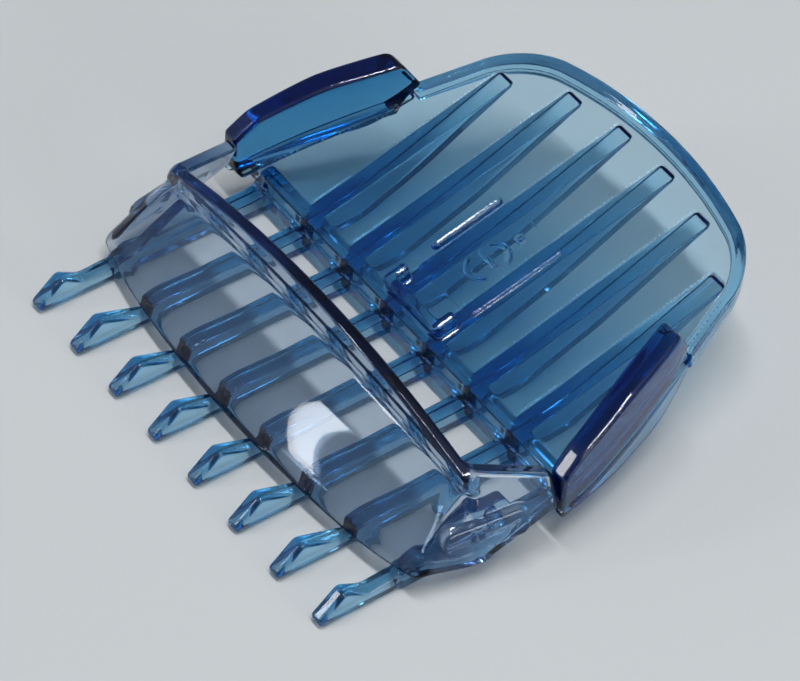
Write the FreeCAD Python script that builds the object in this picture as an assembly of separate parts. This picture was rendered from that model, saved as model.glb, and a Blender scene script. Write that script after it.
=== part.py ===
import FreeCAD, Part
import math
import os

# Comb attachment for a hair clipper, with a clear hood. Sizes in millimetres.
# Worked out with Y = 0 at the front face of the cross bar and Z = 0 under the teeth,
# then shifted so that the origin is the bottom centre. Tooth tips point to -Y.
V = FreeCAD.Vector

PITCH = 5.5             # spacing of the teeth
TEETH = 8
TIP_THICK = 1.35        # tooth thickness in front of the hood
RIB_THICK = 1.65        # tooth thickness behind the hood's rim
STEP_Y = -14.05         # step behind the hood's rim
BAR_DEPTH = 2.05        # cross bar, front to back
BAR_BASE = 1.0          # underside of the cross bar
PLATE_T = 1.4           # heel plate thickness, measured upright
PLATE_SLOPE = math.tan(math.radians(15.45))
PLATE_Z0 = 2.07         # underside of the plate at Y = 0
HEEL_Y = 26.1           # rear end of the plate rim
RIM_WIDTH = 1.1
RIM_RISE = 0.45         # lip above and below the plate
RIM_START_Y = 14.4
ARM_T = 2.0
SKIRT_T = 0.8           # flange below each arm
WEB_X = 19.5            # outer face of the web that carries a snap peg
PEG_Y = -6.1
PEG_Z = 3.5
HOOD_T = 1.2
EAR_T = 1.45
STOP_WALL_T = 1.1
GRIP_RISE = 0.35
SIDE_X0 = 24.54         # outer face of the hood's side at Y = 0, Z = 0
SIDE_NORMAL = V(1, -0.165, 0.41)
VISOR_REAR = -7.6
VISOR_AXIS_Y = 99.0     # upright axis that the visor is turned about, so its front bows gently
VISOR_TURN = 17         # degrees to each side, enough to pass the hood's sides
EAR_END_Y = -1.4        # just clear of the arms, which start at -1.25
ORIGIN_SHIFT_Y = -2.4   # moves the origin to the middle of the length

# lengths of the ribs under the plate, tooth two to tooth seven
RIB_ENDS = [20.6, 23.4, 24.2, 24.2, 23.4, 20.6]

# front and top of the visor on the middle plane, as (y, z, corner radius)
VISOR = [(-18.1, -1.5, 0), (-13.3, 5.6, 14.0), (-2.0, 12.1, 0)]


def plate_under(y):
    return PLATE_Z0 + PLATE_SLOPE * y


def plate_top(y):
    return plate_under(y) + PLATE_T


def rounded_edges(points):
    # edges through (vector, radius) corners, each rounded by its radius
    edges = []
    count = len(points)
    starts = []
    ends = []
    for i in range(count):
        here, radius = points[i]
        before = points[i - 1][0] - here
        after = points[(i + 1) % count][0] - here
        if radius == 0:
            starts.append(here)
            ends.append(here)
            continue
        half = before.getAngle(after) / 2
        reach = radius / math.tan(half)
        middle = V(before).normalize() + V(after).normalize()
        centre = here + middle.normalize() * (radius / math.sin(half))
        start = here + V(before).normalize() * reach
        end = here + V(after).normalize() * reach
        inward = (here - centre).normalize() * radius
        edges.append(Part.Arc(start, centre + inward, end).toShape())
        starts.append(start)
        ends.append(end)
    for i in range(count):
        start = ends[i]
        end = starts[(i + 1) % count]
        if (end - start).Length > 1e-6:
            edges.append(Part.makeLine(start, end))
    return edges


def side_prism(corners, x0, x1):
    # an outline given as (y, z, corner radius), run along X
    points = [(V(x0, c[0], c[1]), c[2]) for c in corners]
    wire = Part.Wire(Part.__sortEdges__(rounded_edges(points)))
    return Part.Face(wire).extrude(V(x1 - x0, 0, 0))


def plan_prism(corners, z0, z1):
    # an outline given as (x, y, corner radius), run along Z
    points = [(V(c[0], c[1], z0), c[2]) for c in corners]
    wire = Part.Wire(Part.__sortEdges__(rounded_edges(points)))
    return Part.Face(wire).extrude(V(0, 0, z1 - z0))


def mirrored(shape):
    return shape.mirror(V(0, 0, 0), V(1, 0, 0))


def tooth_x(number):
    return (number - (TEETH + 1) / 2) * PITCH


def tooth_front(number):
    # the tapered blade in front of the hood: rounded tip, kink, then a falling back
    x = tooth_x(number)
    outer = number in (1, TEETH)
    back = [(-17.0, 1.5, 1.5), (STEP_Y, 1.7, 0)] if outer else [(STEP_Y, 0.75, 0)]
    corners = [(STEP_Y, 0, 0), (-22.05, 0.05, 0.45), (-19.1, 2.7, 0.6)] + back
    blade = side_prism(corners, x - TIP_THICK / 2, x + TIP_THICK / 2)
    soft = []
    for edge in blade.Edges:
        box = edge.BoundBox
        if box.XLength < 1e-6 and (box.YMax < STEP_Y - 0.01 or box.YLength > 1):
            soft.append(edge)
    return blade.makeFillet(0.3, soft)


def tooth_rear(number):
    # the rib: from the step behind the rim, under the blade of the clipper, to the plate
    x = tooth_x(number)
    if number in (1, TEETH):
        high = [(BAR_DEPTH, plate_under(BAR_DEPTH), 0)]
        low = [(BAR_DEPTH, 0, 0)]
    else:
        end = RIB_ENDS[number - 2]
        middle = end * 0.58
        high = [(end, plate_under(end), 0)]
        low = [(middle, plate_under(middle) - 2.6, 25), (6.0, 0, 8)]
    corners = [(STEP_Y, 0, 0), (STEP_Y, 1.7, 0.3), (-12.6, 1.95, 6), (-8.7, 1.75, 12)]
    corners += [(-1.0, plate_under(-0.3), 6), (0, plate_under(0), 0)] + high + low
    return side_prism(corners, x - RIB_THICK / 2, x + RIB_THICK / 2)


def tooth(number):
    whole = tooth_front(number).fuse(tooth_rear(number)).removeSplitter()
    return whole.cut(cross_bar())


def arm_line(inset):
    # plan line of an arm's outer face, moved inward by inset: three points of an arc
    return V(22.7 - inset, -1.25, 0), V(21.1 - inset, 6.0, 0), V(18.25 - inset * 0.98, 14.2, 0)


def arm_slab(inset, thick, z0, z1):
    outer = arm_line(inset)
    inner = arm_line(inset + thick)
    wire = Part.Wire([
        Part.Arc(*outer).toShape(),
        Part.makeLine(outer[2], inner[2]),
        Part.Arc(inner[2], inner[1], inner[0]).toShape(),
        Part.makeLine(inner[0], outer[0]),
    ])
    slab = Part.Face(wire).extrude(V(0, 0, z1 - z0))
    slab.translate(V(0, 0, z0))
    return slab


def right_arm():
    # wing that grips the clipper; its rear tip stands free of the plate
    corners = [(-1.25, plate_top(-1.25), 0), (-1.25, 6.7, 0.5), (0.6, 8.3, 3), (6.2, 10.5, 12),
               (12.2, 11.6, 0.9), (14.0, 8.9, 0.5), (11.7, plate_top(11.7), 0)]
    return side_prism(corners, 0, 30).common(arm_slab(0, ARM_T, -5, 20))


def right_skirt():
    # thin flange under the arm, outside the edge of the plate
    corners = [(-1.25, plate_top(-1.25), 0), (-1.25, 2.4, 0.6), (5.0, 2.55, 10), (11.0, 3.5, 6),
               (14.2, 6.0, 0), (14.2, plate_top(14.2) - 0.4, 0), (11.7, plate_top(11.7), 0)]
    return side_prism(corners, 0, 30).common(arm_slab(0, SKIRT_T, -5, 20))


def plate_outline(inset):
    # plan of the plate's rear part: straight sides, then a wide rounded end
    side_front = V(18.15 - inset, RIM_START_Y, 0)
    side_rear = V(16.15 - inset, 20.0, 0)
    corner = V(14.55 - inset * 0.8, 22.4 - inset * 0.55, 0)
    end_side = V(11.2 - inset * 0.4, 24.55 - inset * 0.95, 0)
    end_mid = V(0, HEEL_Y - inset, 0)
    flip = [V(-p.x, p.y, 0) for p in (side_front, side_rear, corner, end_side)]
    return [
        Part.makeLine(side_front, side_rear),
        Part.Arc(side_rear, corner, end_side).toShape(),
        Part.Arc(end_side, end_mid, flip[3]).toShape(),
        Part.Arc(flip[3], flip[2], flip[1]).toShape(),
        Part.makeLine(flip[1], flip[0]),
    ]


def sloped_slab(below, above, y0, y1):
    # slab that follows the plate, from below its underside to above its top
    corners = [(y0, plate_under(y0) - below, 0), (y1, plate_under(y1) - below, 0),
               (y1, plate_top(y1) + above, 0), (y0, plate_top(y0) + above, 0)]
    return side_prism(corners, -30, 30)


def heel_plate():
    # sloped plate between the skirts, ending inside the rim
    edge = arm_line(SKIRT_T)
    flip = [V(-p.x, p.y, 0) for p in edge]
    rear = plate_outline(RIM_WIDTH)
    edges = rear + [
        Part.Arc(*edge).toShape(),
        Part.Arc(*flip).toShape(),
        Part.makeLine(edge[0], flip[0]),
        Part.makeLine(edge[2], rear[0].Vertexes[0].Point),
        Part.makeLine(flip[2], rear[-1].Vertexes[-1].Point),
    ]
    wire = Part.Wire(Part.__sortEdges__(edges))
    column = Part.Face(wire).extrude(V(0, 0, 20))
    return column.common(sloped_slab(0, 0, 0, 30))


def plate_rim():
    outer = plate_outline(0)
    inner = plate_outline(RIM_WIDTH)
    ends = [Part.makeLine(outer[0].Vertexes[0].Point, inner[0].Vertexes[0].Point),
            Part.makeLine(outer[-1].Vertexes[-1].Point, inner[-1].Vertexes[-1].Point)]
    wire = Part.Wire(Part.__sortEdges__(outer + inner + ends))
    column = Part.Face(wire).extrude(V(0, 0, 20))
    return column.common(sloped_slab(RIM_RISE, RIM_RISE, 10, 30))


def cross_bar():
    # bar across the rear of the windows; the ribs are notched to let it through
    corners = [(0, BAR_BASE, 0.3), (BAR_DEPTH, BAR_BASE, 0.3), (BAR_DEPTH, plate_under(BAR_DEPTH), 0),
               (0, plate_under(0), 0)]
    half = tooth_x(TEETH) + RIB_THICK / 2
    return side_prism(corners, -half, half)


def on_plate(shape):
    # lays a shape drawn on Z = 0 onto the top of the plate, about Y = 0
    shape.rotate(V(0, 0, 0), V(1, 0, 0), math.degrees(math.atan(PLATE_SLOPE)))
    shape.translate(V(0, 0, plate_top(0)))
    return shape


def locating_lug():
    # raised U that seats against the nose of the clipper
    corners = [(-3.6, 1.2, 0.4), (3.6, 1.2, 0.4), (3.6, 3.4, 0.3), (2.7, 3.4, 0.3),
               (2.7, 2.1, 0.2), (-2.7, 2.1, 0.2), (-2.7, 3.4, 0.3), (-3.6, 3.4, 0.3)]
    return on_plate(plan_prism(corners, 0, 1.4))


def insert_pad():
    corners = [(-3.2, 4.4, 0.3), (3.6, 4.4, 0.3), (3.6, 13.6, 0.3), (-3.2, 13.6, 0.3)]
    return on_plate(plan_prism(corners, 0, 0.2))


def raised_bar():
    corners = [(-4.25, 6.2, 0.39), (-3.45, 6.2, 0.39), (-3.45, 13.2, 0.39), (-4.25, 13.2, 0.39)]
    return on_plate(plan_prism(corners, 0, 0.6))


def size_mark():
    # plain raised mark: two brackets, a bar and a dot
    band = 0.35
    height = 0.42
    pieces = []
    for centre_y, side in ((8.2, -1), (9.2, 1)):
        ring = Part.makeCylinder(1.5, height, V(0.3, centre_y, 0))
        ring = ring.cut(Part.makeCylinder(1.5 - band, height, V(0.3, centre_y, 0)))
        keep_y = centre_y - 2 if side < 0 else centre_y + 0.5
        pieces.append(ring.common(Part.makeBox(4, 1.5, height, V(-1.7, keep_y, 0))))
    pieces.append(Part.makeBox(2.0, band, height, V(-0.8, 8.6, 0)))
    pieces.append(Part.makeCylinder(0.35, height, V(0.3, 11.9, 0)))
    pad = insert_pad()
    return on_plate(Part.makeCompound(pieces)).cut(pad)


def right_peg_web():
    # upright web on the outer tooth that carries the snap peg
    corners = [(-12.4, 1.6, 0), (-7.6, 4.5, 1), (-4.6, 4.5, 0.8), (-3.2, 2.2, 0), (-3.2, 1.6, 0)]
    web = side_prism(corners, WEB_X - 1.0, WEB_X)
    return web.cut(tooth_rear(TEETH))


def right_snap_peg():
    # rounded stud that the side of the hood snaps over
    peg = Part.makeCylinder(0.7, 1.3, V(WEB_X, PEG_Y, PEG_Z), V(1, 0, 0))
    return peg.makeFillet(0.3, [e for e in peg.Edges if e.BoundBox.XMin > WEB_X + 1])


def inside_right(inset):
    # block that fills everything inward of the hood's right side, which leans in and spreads to the rear
    block = Part.makeBox(80, 80, 80, V(-80, -40, -40))
    foot = V(SIDE_X0 - inset * 1.1, 0, 0)
    block.Placement = FreeCAD.Placement(foot, FreeCAD.Rotation(V(1, 0, 0), SIDE_NORMAL))
    return block


def between_sides(inset):
    # the space between the two leaning sides
    right = inside_right(inset)
    return right.common(mirrored(right))


def visor_corners(inset):
    # the middle profile's corners, moved inward by inset
    normals = []
    for before, after in zip(VISOR, VISOR[1:]):
        run = V(0, after[0] - before[0], after[1] - before[1]).normalize()
        normals.append(V(0, run.z, -run.y))
    corners = []
    for i, (y, z, radius) in enumerate(VISOR):
        one = normals[max(i - 1, 0)]
        two = normals[min(i, len(normals) - 1)]
        move = (one + two) * (inset / (1 + one.dot(two)))
        corners.append((V(0, y, z) + move, max(radius - inset, 0)))
    return corners


def visor_block(inset, rear):
    corners = visor_corners(inset)
    foot = V(0, corners[-1][0].y, corners[0][0].z)
    face = Part.Face(Part.Wire(Part.__sortEdges__(rounded_edges(corners + [(foot, 0)]))))
    axis = V(0, VISOR_AXIS_Y, 0)
    face.rotate(axis, V(0, 0, 1), -VISOR_TURN)
    block = face.revolve(axis, V(0, 0, 1), 2 * VISOR_TURN)
    block = block.common(Part.makeBox(60, 30, 30, V(-30, rear - 30, -10)))
    return block.common(between_sides(inset))


def visor_solid():
    return visor_block(0, VISOR_REAR)


def hood_lower_edge():
    # everything below the hood's lower edge, seen from the side
    corners = [(-20, -3, 0), (-20, 1.5, 0), (-14.6, 1.5, 3), (-13.2, 2.15, 3), (-8.6, 1.5, 4), (-5.2, 2.7, 4),
               (-1.25, 4.15, 0), (2, 4.15, 0), (2, -3, 0)]
    return side_prism(corners, -30, 30)


def hood_visor():
    shell = visor_solid().cut(visor_block(HOOD_T, VISOR_REAR + 4))
    return shell.cut(hood_lower_edge())


def hood_stop_wall():
    # upright crescent at the rear of the visor, for the nose of the clipper
    arch = Part.Arc(V(-19.0, 0, 8.9), V(0, 0, 11.3), V(19.0, 0, 8.9)).toShape()
    low_right = V(19.0, 0, 4)
    low_left = V(-19.0, 0, 4)
    wire = Part.Wire([arch, Part.makeLine(V(19.0, 0, 8.9), low_right), Part.makeLine(low_right, low_left),
                      Part.makeLine(low_left, V(-19.0, 0, 8.9))])
    wall = Part.Face(wire).extrude(V(0, STOP_WALL_T, 0))
    wall.translate(V(0, VISOR_REAR - STOP_WALL_T, 0))
    return wall.common(between_sides(0)).cut(visor_solid())


def right_ear():
    # side of the hood behind the visor, reaching back to the arm
    corners = [(VISOR_REAR, -2, 0), (VISOR_REAR, 9.6, 0), (-5.6, 8.3, 5), (EAR_END_Y, 6.7, 0),
               (EAR_END_Y, -2, 0)]
    ear = side_prism(corners, 0, 30).common(between_sides(0)).cut(between_sides(EAR_T)).cut(hood_lower_edge())
    groove = Part.makeBox(2.7, 2.2, PEG_Z + 2, V(WEB_X - 1, PEG_Y - 1.1, -1))
    return ear.cut(groove)


def right_hood_grip():
    # long raised pill on the side of the hood, over the peg
    corners = [(-11.2, 2.9, 0.9), (-11.2, 5.1, 0.9), (-4.0, 5.4, 0.9), (-4.0, 3.2, 0.9)]
    layer = between_sides(-GRIP_RISE).cut(between_sides(0))
    return side_prism(corners, 10, 30).common(layer).cut(visor_solid())


def parts():
    named = {"heel_plate": heel_plate(), "plate_rim": plate_rim(), "cross_bar": cross_bar(),
             "insert_pad": insert_pad(), "size_mark": size_mark(), "raised_bar": raised_bar(),
             "locating_lug": locating_lug(), "hood_visor": hood_visor(), "hood_stop_wall": hood_stop_wall()}
    for number in range(1, TEETH + 1):
        named["tooth_%d" % number] = tooth(number)
    for name, shape in (("arm", right_arm()), ("skirt", right_skirt()), ("peg_web", right_peg_web()),
                        ("snap_peg", right_snap_peg()), ("hood_ear", right_ear()),
                        ("hood_grip", right_hood_grip())):
        named["right_" + name] = shape
        named["left_" + name] = mirrored(shape)
    return named


os.makedirs("parts", exist_ok=True)
for name, shape in parts().items():
    if len(shape.Solids) == 1:
        shape = shape.Solids[0]
    shape.translate(V(0, ORIGIN_SHIFT_Y, 0))
    shape.exportStep("parts/" + name + ".step")
    box = shape.BoundBox
    print("%-15s %-9s valid %s solids %d volume %.1f  x %.1f..%.1f y %.1f..%.1f z %.1f..%.1f" % (
        name, shape.ShapeType, shape.isValid(), len(shape.Solids), shape.Volume,
        box.XMin, box.XMax, box.YMin, box.YMax, box.ZMin, box.ZMax))
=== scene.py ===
import math

import bpy
import numpy as np
from mathutils import Matrix, Vector


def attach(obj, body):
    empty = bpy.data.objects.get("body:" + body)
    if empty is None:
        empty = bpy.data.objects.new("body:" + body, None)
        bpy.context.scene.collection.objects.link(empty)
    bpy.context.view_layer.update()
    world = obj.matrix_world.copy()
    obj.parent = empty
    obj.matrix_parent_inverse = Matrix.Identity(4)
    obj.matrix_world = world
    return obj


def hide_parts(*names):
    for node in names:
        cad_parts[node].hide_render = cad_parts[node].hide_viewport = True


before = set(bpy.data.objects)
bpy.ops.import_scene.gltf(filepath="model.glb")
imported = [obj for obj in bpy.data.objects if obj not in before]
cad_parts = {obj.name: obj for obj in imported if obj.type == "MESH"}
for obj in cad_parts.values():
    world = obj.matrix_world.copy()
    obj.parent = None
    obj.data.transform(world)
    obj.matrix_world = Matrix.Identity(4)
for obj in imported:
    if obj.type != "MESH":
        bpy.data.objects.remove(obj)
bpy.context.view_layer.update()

# The two mouldings are drawn in millimetres, with Y = 0 at the front of the cross bar,
# as signed distances (negative inside) on a fine grid, and then skinned as smooth meshes.
# Every corner gets the small radius that a moulded part has.
MM = 0.001
SHIFT_Y = -2.4          # from the drawing's Y = 0 to the frame's
STEP = 0.12

PITCH = 5.5             # spacing of the teeth
TEETH = 8
STEP_Y = -14.05         # where the thin tooth tips meet the thicker ribs
TIP_THICK = 1.35        # tooth thickness in front of the step
RIB_THICK = 1.65        # tooth thickness behind the step
BAR_DEPTH = 2.05        # cross bar, front to back
BAR_BASE = 1.0          # underside of the cross bar
SLOPE = math.tan(math.radians(15.45))   # the plate climbs towards the rear
LEVEL = math.cos(math.atan(SLOPE))
PLATE_Z0 = 2.07         # underside of the plate at Y = 0
PLATE_T = 1.4           # plate thickness, measured upright
REAR_THINNING = 0.65    # how much thinner the plate is at its rear
RIM_HALF = 0.45         # half the width of the plate's rim
RIM_RISE = 0.3          # lip of the rim above and below the plate
SKIRT_HALF = 0.4        # half the thickness of the skirts
ARM_FRONT = -1.25       # front edge of the arms and the skirts
SKIRT_REAR = 14.2
ARM_BASE_T = 1.8        # thickness of the arms low down
PEG_WEB_X = 19.0
PEG_X = 20.0
PEG_Y = -6.1
PEG_Z = 3.5
VISOR_REAR = -7.6
HOOD_T = 1.2            # thickness of the hood's walls
SIDE_X0 = 24.54         # outer face of the hood's side at Y = 0, Z = 0
SIDE_SPREAD = 0.165     # how fast the sides spread towards the rear
SIDE_LEAN = 0.41        # how fast they lean in with height
SIDE_SLANT = 1.093      # length of the side plane's normal
BOW = 230.0             # the visor's front falls back by x * x / BOW
FLOOR_Z = -0.00005      # metres, just under the lowest point of the teeth


# ---------------------------------------------------------------- distance tools

def meet(a, b, radius):
    """The space inside both, with its outside corner rounded."""
    corner = np.sqrt(np.maximum(a + radius, 0) ** 2 + np.maximum(b + radius, 0) ** 2)
    return np.minimum(np.maximum(a, b), -radius) + corner


def join(a, b, radius):
    """The space inside either, with its inside corner filled by a fillet."""
    corner = np.sqrt(np.maximum(radius - a, 0) ** 2 + np.maximum(radius - b, 0) ** 2)
    return np.maximum(np.minimum(a, b), radius) - corner


def rounded(corners, arc_step=6.0):
    """A closed outline through (u, v, radius) corners, as points."""
    points = []
    count = len(corners)
    for i in range(count):
        u, v, radius = corners[i]
        here = np.array([u, v])
        if radius == 0:
            points.append(here)
            continue
        before = np.array(corners[i - 1][:2]) - here
        after = np.array(corners[(i + 1) % count][:2]) - here
        before = before / np.linalg.norm(before)
        after = after / np.linalg.norm(after)
        half = math.acos(float(np.clip(before @ after, -1, 1))) / 2
        start = here + before * radius / math.tan(half)
        middle = (before + after) / np.linalg.norm(before + after)
        centre = here + middle * radius / math.sin(half)
        sweep = math.pi - 2 * half
        side = np.sign(before[0] * after[1] - before[1] * after[0])
        steps = max(2, int(math.degrees(sweep) / arc_step) + 1)
        spoke = start - centre
        for k in range(steps + 1):
            turn = -side * sweep * k / steps
            c, s = math.cos(turn), math.sin(turn)
            points.append(centre + np.array([c * spoke[0] - s * spoke[1], s * spoke[0] + c * spoke[1]]))
    return np.array(points)


def arc(start, middle, end, steps=24):
    """Points of the circle arc through three points."""
    ax, ay = start
    bx, by = middle
    cx, cy = end
    d = 2 * (ax * (by - cy) + bx * (cy - ay) + cx * (ay - by))
    ux = ((ax**2 + ay**2) * (by - cy) + (bx**2 + by**2) * (cy - ay) + (cx**2 + cy**2) * (ay - by)) / d
    uy = ((ax**2 + ay**2) * (cx - bx) + (bx**2 + by**2) * (ax - cx) + (cx**2 + cy**2) * (bx - ax)) / d
    radius = math.hypot(ax - ux, ay - uy)
    first = math.atan2(ay - uy, ax - ux)
    via = (math.atan2(by - uy, bx - ux) - first) % (2 * math.pi)
    last = (math.atan2(cy - uy, cx - ux) - first) % (2 * math.pi)
    if via > last:
        last -= 2 * math.pi
    turns = [first + last * k / steps for k in range(steps + 1)]
    return [(ux + radius * math.cos(turn), uy + radius * math.sin(turn)) for turn in turns]


def flat_distance(outline, u, v):
    """Signed distance of (u, v) from a closed outline, negative inside."""
    u, v = np.broadcast_arrays(u, v)
    best = np.full(u.shape, 1e9, np.float32)
    inside = np.zeros(u.shape, bool)
    ends = np.roll(outline, -1, axis=0)
    for (au, av), (bu, bv) in zip(outline, ends):
        eu, ev = bu - au, bv - av
        length = eu * eu + ev * ev
        if length < 1e-12:
            continue
        t = np.clip(((u - au) * eu + (v - av) * ev) / length, 0, 1)
        best = np.minimum(best, (u - au - eu * t) ** 2 + (v - av - ev * t) ** 2)
        if ev != 0:
            level = ((av <= v) & (v < bv)) | ((bv <= v) & (v < av))
            inside ^= level & (u < au + eu * (v - av) / ev)
    return np.where(inside, -1, 1) * np.sqrt(best)


class Form:
    """A solid held as signed distances on a regular grid."""

    def __init__(self, low, high):
        self.axes = [np.arange(lo, hi + STEP, STEP, dtype=np.float32) for lo, hi in zip(low, high)]
        self.field = np.full([len(a) for a in self.axes], 9.0, np.float32)

    def region(self, low, high):
        cuts = tuple(slice(int(np.searchsorted(a, lo)), int(np.searchsorted(a, hi)))
                     for a, lo, hi in zip(self.axes, low, high))
        x, y, z = (a[c] for a, c in zip(self.axes, cuts))
        return cuts, x[:, None, None], y[None, :, None], z[None, None, :]

    def add(self, low, high, shape, fillet):
        cuts, x, y, z = self.region(low, high)
        self.field[cuts] = join(self.field[cuts], shape(x, y, z), fillet)

    def mesh(self, name):
        """Skins the field: a point in each cell that the surface crosses, a face round each crossed edge."""
        f = self.field
        inside = f < 0
        total = np.zeros([n - 1 for n in f.shape], np.uint8)
        corners = [(i, j, k) for i in (0, 1) for j in (0, 1) for k in (0, 1)]
        for i, j, k in corners:
            total += inside[i:i + total.shape[0], j:j + total.shape[1], k:k + total.shape[2]]
        crossed = (total > 0) & (total < 8)
        cells = np.argwhere(crossed)
        number = np.full(total.shape, -1, np.int32)
        number[crossed] = np.arange(len(cells))
        place = np.zeros((len(cells), 3))
        hits = np.zeros(len(cells))
        for a in corners:
            for axis in range(3):
                if a[axis]:
                    continue
                b = list(a)
                b[axis] = 1
                fa = f[tuple((cells + a).T)]
                fb = f[tuple((cells + b).T)]
                hit = (fa < 0) != (fb < 0)
                t = np.where(hit, fa / np.where(hit, fa - fb, 1), 0)
                point = np.array(a, float) + np.zeros((len(cells), 3))
                point[:, axis] += t
                place += point * hit[:, None]
                hits += hit
        place = cells + place / hits[:, None]
        low = np.array([a[0] for a in self.axes], float)
        place = (low + place * STEP + np.array([0, SHIFT_Y, 0])) * MM
        faces = []
        for axis in range(3):
            one, two = [k for k in range(3) if k != axis]
            lo = [slice(None)] * 3
            hi = [slice(None)] * 3
            lo[axis] = slice(0, -1)
            hi[axis] = slice(1, None)
            change = inside[tuple(lo)] != inside[tuple(hi)]
            edge = np.argwhere(change)
            edge = edge[(edge[:, one] > 0) & (edge[:, two] > 0)]
            edge = edge[(edge[:, one] < total.shape[one]) & (edge[:, two] < total.shape[two])]
            ring = []
            for back_one, back_two in ((1, 1), (0, 1), (0, 0), (1, 0)):
                cell = edge.copy()
                cell[:, one] -= back_one
                cell[:, two] -= back_two
                ring.append(number[tuple(cell.T)])
            quad = np.stack(ring, axis=1)
            outward = inside[tuple(edge.T)]
            if axis == 1:
                outward = ~outward
            quad[~outward] = quad[~outward][:, ::-1]
            faces.append(quad)
        faces = np.concatenate(faces)
        mesh = bpy.data.meshes.new(name)
        mesh.vertices.add(len(place))
        mesh.vertices.foreach_set("co", place.ravel())
        mesh.loops.add(len(faces) * 4)
        mesh.loops.foreach_set("vertex_index", faces.ravel())
        mesh.polygons.add(len(faces))
        mesh.polygons.foreach_set("loop_start", np.arange(0, len(faces) * 4, 4))
        mesh.update(calc_edges=True)
        mesh.shade_smooth()
        piece = bpy.data.objects.new(name, mesh)
        bpy.context.scene.collection.objects.link(piece)
        return piece


# ---------------------------------------------------------------- the comb

def plate_under(y):
    return PLATE_Z0 + SLOPE * y


def plate_top(y):
    return plate_under(y) + PLATE_T


ARM_CURVE = np.polyfit([ARM_FRONT, 6.0, SKIRT_REAR], [22.7, 21.1, 18.25], 2)


def arm_x(y):
    """Plan line of an arm's outer face."""
    return np.polyval(ARM_CURVE, y)


def plan_outline():
    """The plate's plan: curved sides under the arms, straight sides, then the wide rounded end."""
    side = [(float(arm_x(y)) - 0.3, y) for y in np.linspace(0, SKIRT_REAR, 16)]
    corner = arc((16.15, 20.0), (14.55, 22.4), (11.2, 24.55))
    end = arc((11.2, 24.55), (0, 26.1), (-11.2, 24.55), 40)[:21]
    half = side + [(18.15, 14.4)] + corner + end[1:]
    return np.array(half + [(-x, y) for x, y in reversed(half[:-1])])


def slab(y, z, below, above):
    """Distance from a layer that follows the plate; with nothing below, it thins towards the rear."""
    thin = REAR_THINNING * np.clip((y - 6.0) / 14.0, 0, 1) if below == 0 else 0
    low = (plate_under(y) + thin - below - z) * LEVEL
    high = (z - plate_top(y) - above) * LEVEL
    return np.maximum(low, high)


def tooth_outline(number):
    outer = number in (1, TEETH)
    back = [(-17.0, 1.5, 1.5), (STEP_Y + 0.3, 1.7, 0)] if outer else [(STEP_Y + 0.3, 0.75, 0)]
    return rounded([(STEP_Y + 0.3, 0, 0), (-22.05, 0.05, 0.45), (-19.1, 2.7, 0.6)] + back)


def rib_outline(number):
    if number in (1, TEETH):
        rear = [(2.0, 2.6, 0), (2.0, 0, 0)]
    else:
        end = (20.6, 23.4, 24.2, 24.2, 23.4, 20.6)[number - 2]
        middle = end * 0.58
        rear = [(end, plate_under(end) + 0.9, 0), (end, plate_under(end) + 0.1, 0),
                (middle, plate_under(middle) - 2.6, 25), (6.0, 0, 8)]
    top = [(STEP_Y, 0, 0), (STEP_Y, 1.7, 0.3), (-12.6, 1.95, 6), (-8.7, 1.75, 12),
           (-1.0, plate_under(-0.3), 6), (0, plate_under(0), 0), (0.3, plate_under(0.3) + 0.9, 0)]
    return rounded(top + rear)


def bar_along_x(outline, x0, half, radius):
    """A rod along X with that side outline."""
    return lambda x, y, z: meet(flat_distance(outline, y, z), np.abs(x - x0) - half, radius)


def tooth_x(number):
    return (number - (TEETH + 1) / 2) * PITCH


def add_teeth(form):
    for number in range(1, TEETH + 1):
        x0 = tooth_x(number)
        form.add((x0 - 1.6, -23, -1), (x0 + 1.6, STEP_Y + 1, 4),
                 bar_along_x(tooth_outline(number), x0, TIP_THICK / 2, 0.3), 0.12)
        form.add((x0 - 1.8, STEP_Y - 1, -1), (x0 + 1.8, 26, 10.5),
                 bar_along_x(rib_outline(number), x0, RIB_THICK / 2, 0.2), 0.16)


def add_plate(form):
    plan = plan_outline()

    def plate(x, y, z):
        inner = np.maximum(flat_distance(plan, x, y) + 0.3, -y)
        return meet(inner, slab(y, z, 0, 0), 0.12)

    def rim(x, y, z):
        wall = np.abs(flat_distance(plan, x, y) + RIM_HALF) - RIM_HALF
        return meet(np.maximum(wall, 14.5 - y), slab(y, z, RIM_RISE, RIM_RISE), 0.3)

    form.add((-24, -1.5, 0), (24, 27, 12), plate, 0.25)
    form.add((-20, 13.5, 4), (20, 27, 12), rim, 0.2)


def add_cross_bar(form):
    outline = rounded([(0, BAR_BASE, 0.2), (BAR_DEPTH, BAR_BASE, 0.2), (BAR_DEPTH, 2.9, 0), (0, 2.3, 0)])
    half = tooth_x(TEETH) + RIB_THICK / 2
    form.add((-21, -1, 0), (21, 3, 4), bar_along_x(outline, 0, half, 0.2), 0.12)


def on_plate(y, z):
    """Coordinates along the plate's slope and up from its top face."""
    along = y * LEVEL + (z - plate_top(0)) * LEVEL * SLOPE
    up = (z - plate_top(0)) * LEVEL - y * LEVEL * SLOPE
    return along, up


def raised(outline, height, radius):
    """A raised detail on the plate."""
    def shape(x, y, z):
        along, up = on_plate(y, z)
        return meet(flat_distance(outline, x, along), np.maximum(up - height, -0.5 - up), radius)
    return shape


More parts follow.
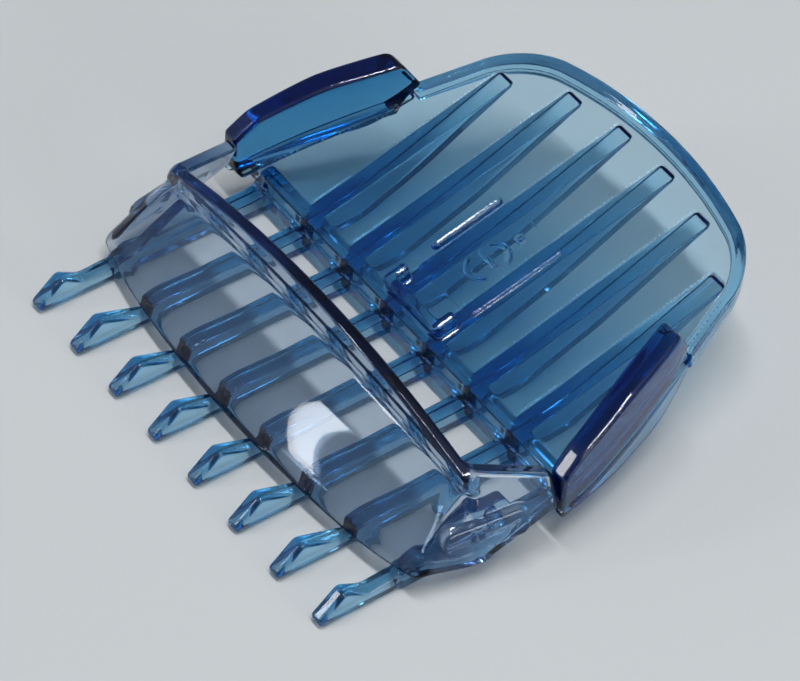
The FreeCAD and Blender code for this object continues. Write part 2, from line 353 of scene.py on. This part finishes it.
def add_plate_details(form):
    box = ((-5.5, 0, 3), (5.5, 15, 9))
    pad = rounded([(-3.2, 4.4, 0.3), (3.6, 4.4, 0.3), (3.6, 13.6, 0.3), (-3.2, 13.6, 0.3)])
    form.add(*box, raised(pad, 0.16, 0.05), 0.05)
    streak = rounded([(-4.25, 6.2, 0.38), (-3.45, 6.2, 0.38), (-3.45, 13.2, 0.38), (-4.25, 13.2, 0.38)])
    form.add(*box, raised(streak, 0.6, 0.38), 0.05)
    lug = rounded([(-3.6, 1.2, 0.4), (3.6, 1.2, 0.4), (3.6, 3.4, 0.3), (2.7, 3.4, 0.3),
                   (2.7, 2.1, 0.2), (-2.7, 2.1, 0.2), (-2.7, 3.4, 0.3), (-3.6, 3.4, 0.3)])
    form.add((-5, 0, 3), (5, 5, 8), raised(lug, 1.4, 0.3), 0.25)

    def mark(x, y, z):
        along, up = on_plate(y, z)
        low = np.maximum(np.abs(np.hypot(x - 0.3, along - 8.2) - 1.33) - 0.17, along - 7.7)
        high = np.maximum(np.abs(np.hypot(x - 0.3, along - 9.2) - 1.33) - 0.17, 9.7 - along)
        dash = np.maximum(np.abs(x - 0.2) - 1.0, np.abs(along - 8.77) - 0.17)
        dot = np.hypot(x - 0.3, along - 11.9) - 0.34
        sign = np.minimum(np.minimum(low, high), np.minimum(dash, dot))
        return meet(sign, np.maximum(up - 0.4, -0.5 - up), 0.08)

    form.add(*box, mark, 0.04)


def add_skirts(form):
    outline = rounded([(ARM_FRONT, 3.6, 0), (ARM_FRONT, 2.4, 0.6), (5.0, 2.55, 10), (11.0, 3.5, 6),
                       (SKIRT_REAR, 6.0, 0), (SKIRT_REAR, plate_top(SKIRT_REAR) - 0.4, 0),
                       (11.7, plate_top(11.7), 0), (ARM_FRONT, plate_top(ARM_FRONT), 0)])

    def skirt(x, y, z):
        wall = np.abs(np.abs(x) - arm_x(y) + SKIRT_HALF) - SKIRT_HALF
        return meet(flat_distance(outline, y, z), wall, 0.2)

    form.add((16, -2.5, 1.5), (24, 15.5, 8), skirt, 0.15)
    form.add((-24, -2.5, 1.5), (-16, 15.5, 8), skirt, 0.15)


def add_pegs(form):
    outline = rounded([(-12.4, 1.2, 0), (-12.4, 1.6, 0), (-7.6, 4.5, 1), (-4.6, 4.5, 0.8),
                       (-3.2, 2.2, 0), (-3.2, 1.2, 0)])
    for side in (-1, 1):
        web_x = side * PEG_WEB_X
        form.add((web_x - 2.5, -14, 0.5), (web_x + 2.5, -2, 6), bar_along_x(outline, web_x, 0.5, 0.2), 0.3)

        def peg(x, y, z):
            return meet(np.hypot(y - PEG_Y, z - PEG_Z) - 0.7, np.abs(x - side * PEG_X) - 0.8, 0.3)

        form.add((side * PEG_X - 2, -8, 2), (side * PEG_X + 2, -4, 5), peg, 0.2)


def comb():
    form = Form((-24.5, -23.5, -1.0), (24.5, 27.5, 12.5))
    add_plate(form)
    add_teeth(form)
    add_cross_bar(form)
    add_plate_details(form)
    add_skirts(form)
    add_pegs(form)
    return form.mesh("comb_moulding")


def arm(side):
    """One arm: thicker towards its rear top, with a fillet along its inner foot."""
    form = Form((side * 20.2 - 4.6, -3.0, 1.5), (side * 20.2 + 4.6, 15.5, 13.0))
    outline = rounded([(ARM_FRONT, plate_top(ARM_FRONT), 0.3), (ARM_FRONT, 6.7, 0.5), (0.6, 8.3, 3),
                       (6.2, 10.5, 12), (12.2, 11.6, 0.9), (14.0, 8.9, 0.5), (11.7, plate_top(11.7), 0.3)])

    def wing(x, y, z):
        depth = arm_x(y) - side * x
        high = np.clip((z - plate_top(y)) / 5.0, 0, 1)
        thick = ARM_BASE_T + (0.1 + 0.5 * np.clip((y - 1.0) / 8.0, 0, 1)) * high
        foot = 1.1 * np.clip(1 - (z - plate_top(y)) / 1.6, 0, 1) ** 2
        # depth is measured along X on slanting faces, so it is scaled to be near the true distance
        wall = np.maximum(-depth, depth - thick - foot) * 0.85
        return meet(flat_distance(outline, y, z), wall, 0.35)

    form.add((-30, -3, 0), (30, 16, 14), wing, 0.1)
    return form.mesh("left_arm_wing" if side < 0 else "right_arm_wing")


# ---------------------------------------------------------------- the hood

def visor_outline():
    return rounded([(-19.11, -3.0, 0), (-13.3, 5.6, 14.0), (4.0, 15.55, 0), (4.0, -3.0, 0)], 1.0)


def hood():
    form = Form((-24.5, -18.0, 0.0), (24.5, 0.0, 12.5))
    visor = visor_outline()
    below = rounded([(-20, -3, 0), (-20, 1.5, 0), (-14.6, 1.5, 3), (-13.2, 2.15, 3), (-8.6, 1.5, 4),
                     (-5.2, 2.7, 4), (-1.0, 4.2, 0), (2, 4.2, 0), (2, -3, 0)])
    ear = rounded([(VISOR_REAR - 0.6, 0, 0), (VISOR_REAR - 0.6, 8.6, 0.3), (VISOR_REAR, 8.9, 0.3),
                   (-5.6, 8.2, 5), (-1.4, 6.7, 0.4), (-1.4, 0, 0)])
    grip = rounded([(-11.2, 2.9, 0.95), (-11.2, 5.1, 0.95), (-4.0, 5.4, 0.95), (-4.0, 3.2, 0.95)])

    def side(x, y, z):
        return (np.abs(x) - (SIDE_X0 + SIDE_SPREAD * y - SIDE_LEAN * z)) / SIDE_SLANT

    def shell(x, y, z):
        front = flat_distance(visor, np.broadcast_to(y, (1, y.shape[1], z.shape[2])), z)
        # the front bows: the profile falls back towards the sides
        bowed = np.empty((x.shape[0], y.shape[1], z.shape[2]), np.float32)
        ys = y[0, :, 0]
        for i in range(x.shape[0]):
            moved = ys - x[i, 0, 0] ** 2 / BOW
            index = np.clip((moved - ys[0]) / STEP, 0, len(ys) - 1.001)
            whole = index.astype(int)
            part = (index - whole)[:, None]
            bowed[i] = front[0][whole] * (1 - part) + front[0][whole + 1] * part
            short = np.maximum(ys[0] - moved, 0)[:, None]
            bowed[i] += short
        shoulder = 0.6 + 1.0 * np.clip((z - 2.0) / 4.0, 0, 1)
        body = meet(bowed, side(x, y, z), shoulder)
        wall = np.maximum(body, -(body + HOOD_T))
        wall = meet(wall, y - VISOR_REAR, 0.2)
        return meet(wall, -flat_distance(below, y, z), 0.35)

    def ears(x, y, z):
        lean = side(x, y, z)
        wall = np.maximum(lean, -(lean + HOOD_T))
        wall = meet(wall, flat_distance(ear, y, z), 0.3)
        return meet(wall, -flat_distance(below, y, z), 0.3)

    def stop_wall(x, y, z):
        top = 11.3 - 2.4 * (x / 19.0) ** 2
        foot = 8.0 - 0.6 * (x / 17.7) ** 2
        wall = meet(np.abs(y - VISOR_REAR + 0.55) - 0.55, np.maximum(z - top, foot - z), 0.3)
        return meet(wall, side(x, y, z), 0.4)

    def grips(x, y, z):
        lean = side(x, y, z)
        proud = meet(flat_distance(grip, y, z), lean - 0.35, 0.3)
        return np.maximum(proud, -(lean + 0.7))

    form.add((-24.5, -18, 0), (24.5, -6.8, 12.5), shell, 0.1)
    form.add((-24.5, -10, 0), (24.5, -0.5, 12.5), ears, 0.35)
    form.add((-24.5, -10, 6), (24.5, -6.5, 12.5), stop_wall, 0.4)
    form.add((-24.5, -12.5, 2), (24.5, -2.5, 6.5), grips, 0.3)
    return form.mesh("clear_hood")


# ---------------------------------------------------------------- materials

def plastic(name, tint, density, rough_low, rough_high, ior, ripple):
    """Clear moulded plastic: light is absorbed by density times one minus the tint, per metre."""
    made = bpy.data.materials.new(name)
    made.use_nodes = True
    tree = made.node_tree
    shader = tree.nodes["Principled BSDF"]
    out = tree.nodes["Material Output"]
    shader.inputs["Transmission Weight"].default_value = 1.0
    shader.inputs["IOR"].default_value = ior
    coords = tree.nodes.new("ShaderNodeTexCoord")
    cloud = tree.nodes.new("ShaderNodeTexNoise")
    cloud.inputs["Scale"].default_value = 160.0
    cloud.inputs["Detail"].default_value = 4.0
    tree.links.new(coords.outputs["Object"], cloud.inputs["Vector"])
    polish = tree.nodes.new("ShaderNodeMapRange")
    polish.inputs["To Min"].default_value = rough_low
    polish.inputs["To Max"].default_value = rough_high
    tree.links.new(cloud.outputs["Fac"], polish.inputs["Value"])
    tree.links.new(polish.outputs["Result"], shader.inputs["Roughness"])
    shade = tree.nodes.new("ShaderNodeValToRGB")
    shade.color_ramp.elements[0].color = (0.90, 0.95, 1.0, 1)
    shade.color_ramp.elements[1].color = (1.0, 1.0, 1.0, 1)
    tree.links.new(cloud.outputs["Fac"], shade.inputs["Fac"])
    tree.links.new(shade.outputs["Color"], shader.inputs["Base Color"])
    flow = tree.nodes.new("ShaderNodeTexNoise")
    flow.inputs["Scale"].default_value = 420.0
    flow.inputs["Detail"].default_value = 2.0
    tree.links.new(coords.outputs["Object"], flow.inputs["Vector"])
    bump = tree.nodes.new("ShaderNodeBump")
    bump.inputs["Strength"].default_value = ripple
    bump.inputs["Distance"].default_value = 0.00005
    tree.links.new(flow.outputs["Fac"], bump.inputs["Height"])
    tree.links.new(bump.outputs["Normal"], shader.inputs["Normal"])
    depth = tree.nodes.new("ShaderNodeVolumeAbsorption")
    depth.inputs["Color"].default_value = (*tint, 1)
    depth.inputs["Density"].default_value = density
    tree.links.new(depth.outputs["Volume"], out.inputs["Volume"])
    return made


BLUE_TINT = (0.08, 0.64, 0.88)
# darker tint for the arms' copy of the blue plastic: painted shade, not a different plastic
ARM_PAINTED_SHADE_TINT = (0.04, 0.58, 0.80)
HOOD_TINT = (0.16, 0.40, 0.64)

blue = plastic("translucent_blue_plastic", BLUE_TINT, 620.0, 0.02, 0.06, 1.53, 0.05)
# the real arms look darker than this geometry alone would; they are the same plastic as the comb, so this
# denser, darker copy paints that shade into the arms
arm_blue_with_painted_shade = plastic("translucent_blue_arm_plastic_painted_shade", ARM_PAINTED_SHADE_TINT, 1250.0, 0.02, 0.06, 1.53, 0.05)
clear = plastic("clear_plastic", HOOD_TINT, 420.0, 0.01, 0.04, 1.50, 0.03)

comb_piece = comb()
comb_piece.data.materials.append(blue)
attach(comb_piece, "comb")
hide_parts("heel_plate", "plate_rim", "cross_bar", "insert_pad", "size_mark", "raised_bar",
            "locating_lug", *["tooth_%d" % k for k in range(1, TEETH + 1)], "right_skirt", "left_skirt",
            "right_peg_web", "left_peg_web", "right_snap_peg", "left_snap_peg")

for side, name in ((1, "right_arm"), (-1, "left_arm")):
    wing = arm(side)
    # the arms get the copy of the blue plastic with painted shade
    wing.data.materials.append(arm_blue_with_painted_shade)
    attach(wing, name)
    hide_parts(name)

hood_piece = hood()
hood_piece.data.materials.append(clear)
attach(hood_piece, "hood")
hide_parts("hood_visor", "hood_stop_wall", "right_hood_ear", "left_hood_ear",
            "right_hood_grip", "left_hood_grip")


# ---------------------------------------------------------------- floor, light and camera

def floor():
    mesh = bpy.data.meshes.new("floor")
    reach = 1.2
    corners = [(-reach, -reach), (reach, -reach), (reach, reach), (-reach, reach)]
    mesh.from_pydata([(x, y, FLOOR_Z) for x, y in corners], [], [(0, 1, 2, 3)])
    piece = bpy.data.objects.new("floor", mesh)
    bpy.context.scene.collection.objects.link(piece)
    paint = bpy.data.materials.new("floor_paper")
    paint.use_nodes = True
    shader = paint.node_tree.nodes["Principled BSDF"]
    shader.inputs["Base Color"].default_value = (0.60, 0.625, 0.64, 1)
    shader.inputs["Roughness"].default_value = 0.9
    shader.inputs["Specular IOR Level"].default_value = 0.2
    mesh.materials.append(paint)


def soft_box(name, place, target, width, height, power, along=(0, 0, 1)):
    """A rectangular lamp at place that shines on target, its height run along the given direction."""
    lamp = bpy.data.lights.new(name, "AREA")
    lamp.shape = "RECTANGLE"
    lamp.size = width
    lamp.size_y = height
    lamp.energy = power
    made = bpy.data.objects.new(name, lamp)
    back = (Vector(place) - Vector(target)).normalized()
    right = Vector(along).cross(back).normalized()
    turn = Matrix((right, back.cross(right), back)).transposed().to_4x4()
    made.matrix_world = Matrix.Translation(place) @ turn
    bpy.context.scene.collection.objects.link(made)


def sky():
    world = bpy.data.worlds.new("studio")
    world.use_nodes = True
    tree = world.node_tree
    back = tree.nodes["Background"]
    back.inputs["Color"].default_value = (0.93, 0.96, 1.0, 1)
    coords = tree.nodes.new("ShaderNodeTexCoord")
    total = None
    # broad soft lights: direction, where it starts and is full (as the cosine from its middle), and strength
    lobes = (((0.28, 0.05, 0.96), 0.70, 0.97, 0.65), ((-0.55, -0.75, 0.30), 0.70, 0.98, 0.35))
    for toward, start, full, strength in lobes:
        dot = tree.nodes.new("ShaderNodeVectorMath")
        dot.operation = "DOT_PRODUCT"
        dot.inputs[1].default_value = Vector(toward).normalized()
        tree.links.new(coords.outputs["Generated"], dot.inputs[0])
        glow = tree.nodes.new("ShaderNodeMapRange")
        glow.interpolation_type = "SMOOTHSTEP"
        glow.inputs["From Min"].default_value = start
        glow.inputs["From Max"].default_value = full
        glow.inputs["To Min"].default_value = 0.06
        glow.inputs["To Max"].default_value = strength
        tree.links.new(dot.outputs["Value"], glow.inputs["Value"])
        if total is None:
            total = glow.outputs["Result"]
        else:
            add = tree.nodes.new("ShaderNodeMath")
            tree.links.new(total, add.inputs[0])
            tree.links.new(glow.outputs["Result"], add.inputs[1])
            total = add.outputs["Value"]
    tree.links.new(total, back.inputs["Strength"])
    bpy.context.scene.world = world


def camera():
    data = bpy.data.cameras.new("camera")
    data.sensor_width = 36.0
    data.lens = 183.05
    data.clip_end = 10.0
    eye = bpy.data.objects.new("camera", data)
    right = Vector((0.5856, 0.8085, 0.0580))
    up = Vector((-0.6100, 0.3924, 0.6884))
    back = Vector((0.5339, -0.4385, 0.7230))
    turn = Matrix((right, up, back)).transposed().to_4x4()
    eye.matrix_world = Matrix.Translation((0.1711, -0.1426, 0.2329)) @ turn
    bpy.context.scene.collection.objects.link(eye)
    bpy.context.scene.camera = eye


floor()
sky()
soft_box("window", (-0.30, -0.52, 0.28), (0, 0, 0), 0.035, 0.39, 0.42, along=(-0.09, 0.053, 0.386))
soft_box("overhead", (0.07, -0.01, 0.57), (0.07, -0.01, 0), 0.05, 0.46, 2.0, along=(1, 0, 0))
soft_box("side_panel", (0.48, 0.095, 0.11), (0, 0, 0), 0.22, 0.18, 0.7)
camera()

scene = bpy.context.scene
scene.view_settings.view_transform = "Standard"
scene.cycles.max_bounces = 24
scene.cycles.transmission_bounces = 24
scene.cycles.glossy_bounces = 8
scene.cycles.transparent_max_bounces = 16
